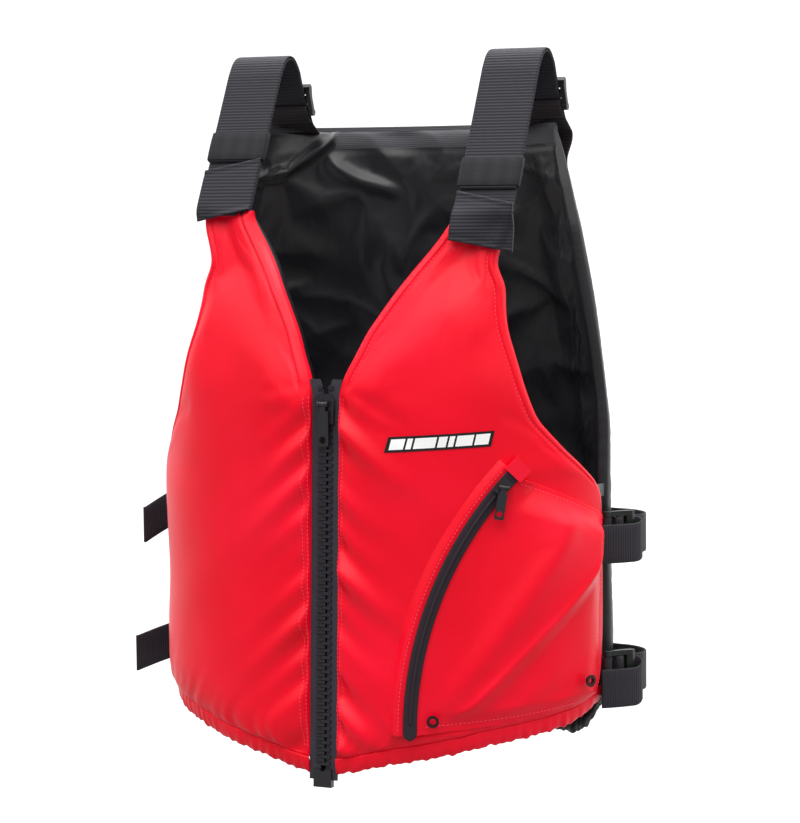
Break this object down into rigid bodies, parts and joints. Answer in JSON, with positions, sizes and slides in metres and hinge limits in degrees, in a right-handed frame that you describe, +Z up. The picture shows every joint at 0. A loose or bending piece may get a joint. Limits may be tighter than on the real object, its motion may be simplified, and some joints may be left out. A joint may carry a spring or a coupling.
{
  "type": "life jacket",
  "caption": "Zip-front foam life jacket with a curved-zip chest pocket, ladder-lock webbing shoulder straps and webbing side straps.",
  "frame": {"origin": "on the torso centreline at the height of the lower end of the main zip", "axes": "+Z up along the wearer's body, -Y to the front, +X to the wearer's left"},
  "size_m": [0.4619, 0.2566, 0.6],
  "materials": {
    "red_fabric": "satin",
    "black_fabric": "satin",
    "foam": "matte",
    "binding": "matte",
    "zip_tape": "matte",
    "zip_plastic": "satin",
    "webbing": "matte",
    "keeper_elastic": "matte",
    "buckle_plastic": "satin",
    "slider_metal": "satin",
    "eyelet_metal": "satin",
    "label_print": "satin"
  },
  "bodies": {
    "vest": {"front_cover_left": "red_fabric", "front_foam_left": "foam", "side_panel_left": "black_fabric", "side_binding_left": "binding", "front_hem_left": "red_fabric", "zip_tape_left": "zip_tape", "zip_teeth_left": "zip_plastic", "shoulder_strap_left": "webbing", "shoulder_tail_left": "webbing", "strap_anchor_left": "webbing", "shoulder_tab_left": "webbing", "side_tabs_left": "webbing", "side_strap_left_upper": "webbing", "side_strap_left_lower": "webbing", "front_cover_right": "red_fabric", "front_foam_right": "foam", "side_panel_right": "black_fabric", "side_binding_right": "binding", "front_hem_right": "red_fabric", "zip_tape_right": "zip_tape", "zip_teeth_right": "zip_plastic", "shoulder_strap_right": "webbing", "shoulder_tail_right": "webbing", "strap_anchor_right": "webbing", "shoulder_tab_right": "webbing", "side_tabs_right": "webbing", "side_strap_right_upper": "webbing", "side_strap_right_lower": "webbing", "back_cover": "black_fabric", "back_foam": "foam", "back_binding": "binding", "back_hem": "black_fabric", "zip_box": "zip_plastic", "zip_stops": "zip_plastic", "pocket_panel": "red_fabric", "pocket_tape": "zip_tape", "pocket_coil": "zip_plastic", "pocket_garage": "red_fabric", "eyelet_front": "eyelet_metal", "eyelet_side": "eyelet_metal", "label_patch": "label_print"},
    "main_slider": {"zip_slider": "slider_metal"},
    "main_pull": {"zip_pull": "slider_metal"},
    "pocket_slider": {"pocket_slider": "slider_metal"},
    "pocket_pull": {"pocket_pull": "slider_metal"},
    "shoulder_buckle_left": {"shoulder_buckle_left": "buckle_plastic", "shoulder_thread_left": "webbing"},
    "strap_keeper_left": {"strap_keeper_left": "keeper_elastic"},
    "side_buckle_left_upper": {"side_buckle_left_upper": "buckle_plastic", "side_thread_left_upper": "webbing"},
    "side_buckle_left_lower": {"side_buckle_left_lower": "buckle_plastic", "side_thread_left_lower": "webbing"},
    "shoulder_buckle_right": {"shoulder_buckle_right": "buckle_plastic", "shoulder_thread_right": "webbing"},
    "strap_keeper_right": {"strap_keeper_right": "keeper_elastic"},
    "side_buckle_right_upper": {"side_buckle_right_upper": "buckle_plastic", "side_thread_right_upper": "webbing"},
    "side_buckle_right_lower": {"side_buckle_right_lower": "buckle_plastic", "side_thread_right_lower": "webbing"}
  },
  "joints": [
    {"name": "main_slider_run", "type": "slide", "parent": "vest", "child": "main_slider", "axis": [0, -0.0441, -0.999], "range_m": [0, 0.28], "deforming": ["zip_teeth_left", "zip_teeth_right"]},
    {"name": "main_pull_flip", "type": "hinge", "parent": "main_slider", "child": "main_pull", "pos_m": [0, -0.12518, 0.30631], "axis": [-1, 0, 0], "range_deg": [0, 150]},
    {"name": "pocket_slider_run", "type": "hinge", "parent": "vest", "child": "pocket_slider", "pos_m": [0.33855, 0.01461, 0.042], "axis": [0.5, -0.866, 0], "range_deg": [0, 31], "deforming": ["pocket_coil"]},
    {"name": "pocket_pull_flip", "type": "hinge", "parent": "pocket_slider", "child": "pocket_pull", "pos_m": [0.14822, -0.10301, 0.24196], "axis": [-0.8529, -0.4924, 0.1736], "range_deg": [0, 140]},
    {"name": "shoulder_buckle_left_tilt", "type": "hinge", "parent": "vest", "child": "shoulder_buckle_left", "pos_m": [0.118, 0.046, 0.546], "axis": [-1, 0, 0], "range_deg": [0, 25]},
    {"name": "strap_keeper_left_slide", "type": "slide", "parent": "vest", "child": "strap_keeper_left", "axis": [0, 0.4651, 0.8852], "range_m": [0, 0.035]},
    {"name": "side_buckle_left_upper_tilt", "type": "hinge", "parent": "vest", "child": "side_buckle_left_upper", "pos_m": [0.199, -0.003, 0.192], "axis": [0, 0, -1], "range_deg": [0, 25]},
    {"name": "side_buckle_left_lower_tilt", "type": "hinge", "parent": "vest", "child": "side_buckle_left_lower", "pos_m": [0.199, -0.003, 0.076], "axis": [0, 0, -1], "range_deg": [0, 25]},
    {"name": "shoulder_buckle_right_tilt", "type": "hinge", "parent": "vest", "child": "shoulder_buckle_right", "pos_m": [-0.118, 0.046, 0.546], "axis": [-1, 0, 0], "range_deg": [0, 25]},
    {"name": "strap_keeper_right_slide", "type": "slide", "parent": "vest", "child": "strap_keeper_right", "axis": [0, 0.4651, 0.8852], "range_m": [0, 0.035]},
    {"name": "side_buckle_right_upper_tilt", "type": "hinge", "parent": "vest", "child": "side_buckle_right_upper", "pos_m": [-0.199, -0.003, 0.192], "axis": [0, 0, 1], "range_deg": [0, 25]},
    {"name": "side_buckle_right_lower_tilt", "type": "hinge", "parent": "vest", "child": "side_buckle_right_lower", "pos_m": [-0.199, -0.003, 0.076], "axis": [0, 0, 1], "range_deg": [0, 25]}
  ]
}
